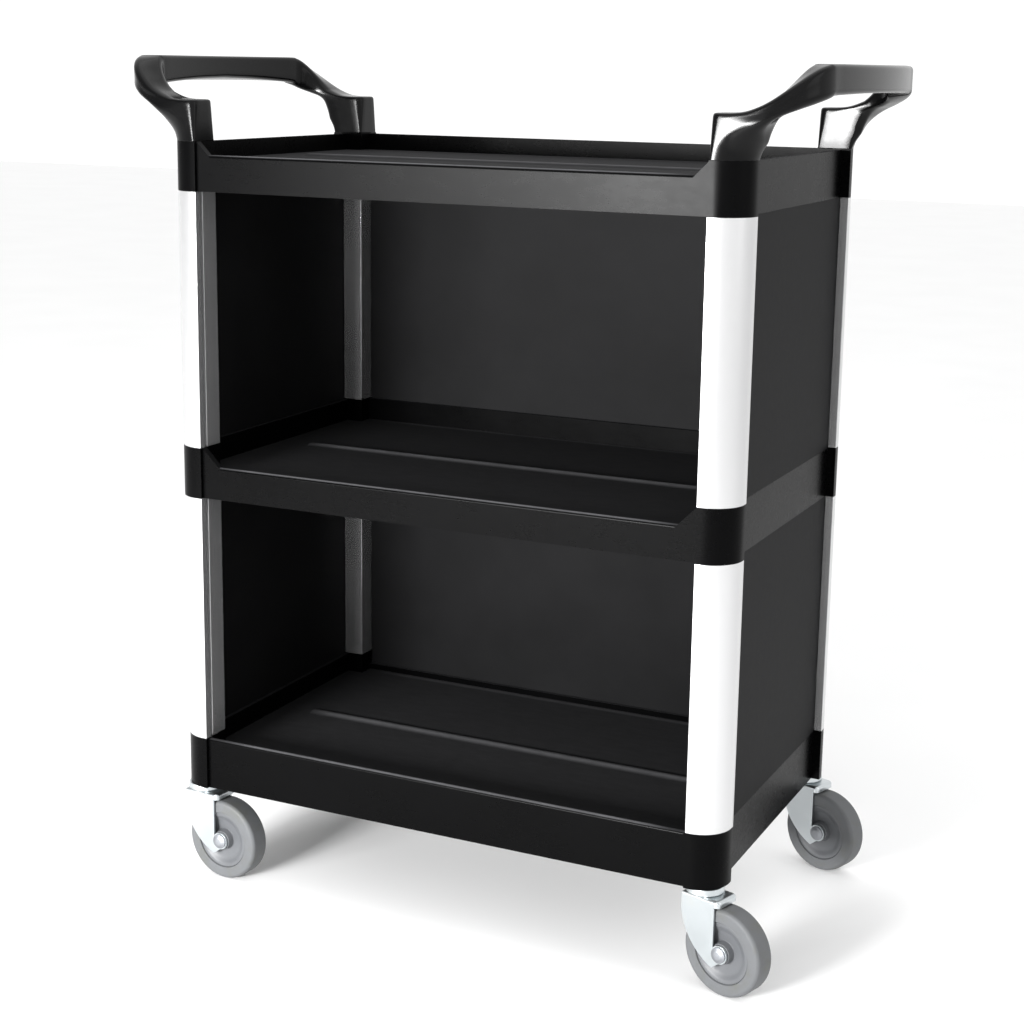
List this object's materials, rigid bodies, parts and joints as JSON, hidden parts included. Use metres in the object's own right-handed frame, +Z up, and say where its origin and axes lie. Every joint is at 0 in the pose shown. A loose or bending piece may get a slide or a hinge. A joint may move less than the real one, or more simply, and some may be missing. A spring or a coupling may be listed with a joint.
{
  "type": "food service trolley",
  "caption": "Three-shelf service trolley with moulded shelves, metal corner posts, infill panels on three sides, end handles and swivel casters",
  "frame": {"origin": "on the floor under the centre of the trolley's four corner posts, which is the middle of its footprint to within a few millimetres", "axes": "+X to the right handle along the length, +Y to the closed back, +Z up, floor at z = 0; the open side faces -Y"},
  "size_m": [0.824, 0.4123, 0.951],
  "materials": {
    "shelf": "satin moulded black plastic",
    "post": "satin extruded aluminium",
    "panel": "matt black sheet",
    "handle": "semi-gloss moulded black plastic",
    "screw": "blackened steel",
    "zinc": "bright zinc plate, slightly blue",
    "bolt": "zinc plated steel",
    "hub": "grey moulded plastic",
    "tyre": "grey non-marking rubber"
  },
  "bodies": {
    "frame": {"shelf_bottom": "shelf", "shelf_middle": "shelf", "shelf_top": "shelf", "post_lower_front_right": "post", "post_lower_back_right": "post", "post_lower_back_left": "post", "post_lower_front_left": "post", "panel_lower_left": "panel", "panel_lower_right": "panel", "panel_lower_back": "panel", "post_upper_front_right": "post", "post_upper_back_right": "post", "post_upper_back_left": "post", "post_upper_front_left": "post", "panel_upper_left": "panel", "panel_upper_right": "panel", "panel_upper_back": "panel", "handle_left": "handle", "screws_handle_left": "screw", "handle_right": "handle", "screws_handle_right": "screw", "caster_front_right_stem": "zinc", "caster_back_right_stem": "zinc", "caster_back_left_stem": "zinc", "caster_front_left_stem": "zinc"},
    "swivel_front_right": {"caster_front_right_fork": "zinc", "caster_front_right_race": "bolt", "caster_front_right_bolt": "bolt", "caster_front_right_nut": "bolt", "caster_front_right_sleeve": "bolt"},
    "wheel_front_right": {"caster_front_right_hub": "hub", "caster_front_right_tyre": "tyre"},
    "swivel_back_right": {"caster_back_right_fork": "zinc", "caster_back_right_race": "bolt", "caster_back_right_bolt": "bolt", "caster_back_right_nut": "bolt", "caster_back_right_sleeve": "bolt"},
    "wheel_back_right": {"caster_back_right_hub": "hub", "caster_back_right_tyre": "tyre"},
    "swivel_back_left": {"caster_back_left_fork": "zinc", "caster_back_left_race": "bolt", "caster_back_left_bolt": "bolt", "caster_back_left_nut": "bolt", "caster_back_left_sleeve": "bolt"},
    "wheel_back_left": {"caster_back_left_hub": "hub", "caster_back_left_tyre": "tyre"},
    "swivel_front_left": {"caster_front_left_fork": "zinc", "caster_front_left_race": "bolt", "caster_front_left_bolt": "bolt", "caster_front_left_nut": "bolt", "caster_front_left_sleeve": "bolt"},
    "wheel_front_left": {"caster_front_left_hub": "hub", "caster_front_left_tyre": "tyre"}
  },
  "joints": [
    {"name": "swivel_front_right", "type": "hinge", "parent": "frame", "child": "swivel_front_right", "pos_m": [0.3127, -0.1777, 0.101], "axis": [0, 0, 1], "continuous": true},
    {"name": "wheel_front_right", "type": "hinge", "parent": "swivel_front_right", "child": "wheel_front_right", "pos_m": [0.3433, -0.18706, 0.0475], "axis": [0.2924, 0.9563, 0], "continuous": true},
    {"name": "swivel_back_right", "type": "hinge", "parent": "frame", "child": "swivel_back_right", "pos_m": [0.3127, 0.1777, 0.101], "axis": [0, 0, 1], "continuous": true},
    {"name": "wheel_back_right", "type": "hinge", "parent": "swivel_back_right", "child": "wheel_back_right", "pos_m": [0.34313, 0.16781, 0.0475], "axis": [0.309, 0.9511, 0], "continuous": true},
    {"name": "swivel_back_left", "type": "hinge", "parent": "frame", "child": "swivel_back_left", "pos_m": [-0.3127, 0.1777, 0.101], "axis": [0, 0, 1], "continuous": true},
    {"name": "wheel_back_left", "type": "hinge", "parent": "swivel_back_left", "child": "wheel_back_left", "pos_m": [-0.28119, 0.17214, 0.0475], "axis": [0.1736, 0.9848, 0], "continuous": true},
    {"name": "swivel_front_left", "type": "hinge", "parent": "frame", "child": "swivel_front_left", "pos_m": [-0.3127, -0.1777, 0.101], "axis": [0, 0, 1], "continuous": true},
    {"name": "wheel_front_left", "type": "hinge", "parent": "swivel_front_left", "child": "wheel_front_left", "pos_m": [-0.28082, -0.18049, 0.0475], "axis": [0.0872, 0.9962, 0], "continuous": true}
  ]
}
